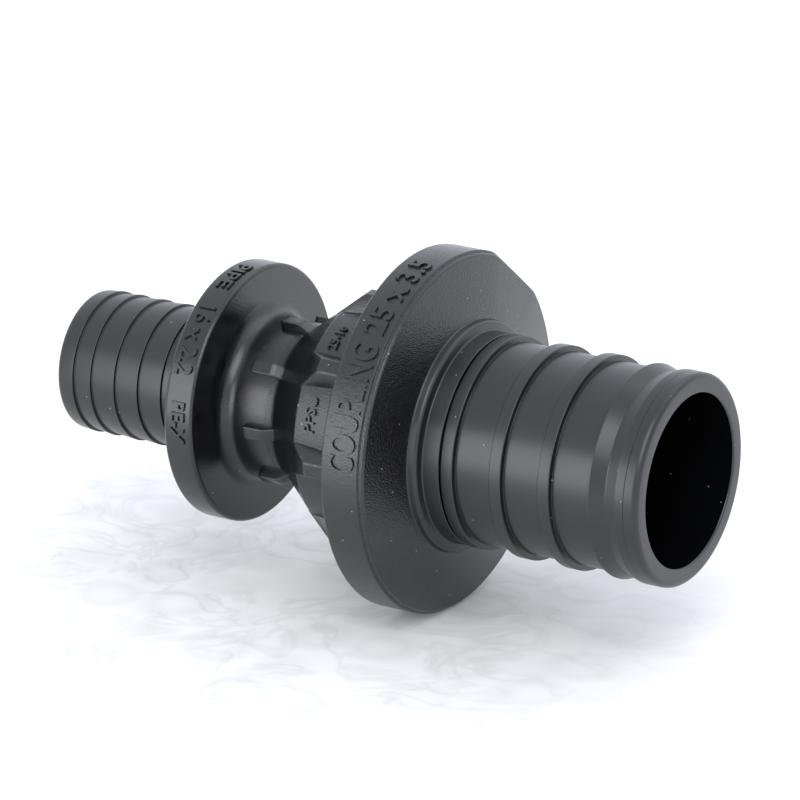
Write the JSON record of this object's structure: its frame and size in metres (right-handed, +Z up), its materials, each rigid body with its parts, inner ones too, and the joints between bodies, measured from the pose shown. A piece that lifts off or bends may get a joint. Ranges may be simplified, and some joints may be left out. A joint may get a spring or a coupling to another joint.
{
  "type": "reducing pipe coupling",
  "caption": "Reducing coupling for plastic pipe: a ribbed larger spigot and a barbed smaller one, joined through round collars and a webbed tapering hub, with a water way right through.",
  "frame": {"origin": "on the axis, midway between the large and the small mouth", "axes": "+X along the axis toward the large mouth, +Z up; the rim flat faces up and toward +Y"},
  "size_m": [0.068, 0.0356, 0.0356],
  "materials": {
    "ppsu_satin": "satin, smooth moulded",
    "ppsu_eroded": "fine spark-eroded texture"
  },
  "bodies": {
    "root": {"large_spigot": "ppsu_satin", "large_collar": "ppsu_eroded", "tapered_hub": "ppsu_eroded", "hub_barrel": "ppsu_eroded", "small_collar": "ppsu_eroded", "small_spigot": "ppsu_satin"}
  },
  "joints": []
}
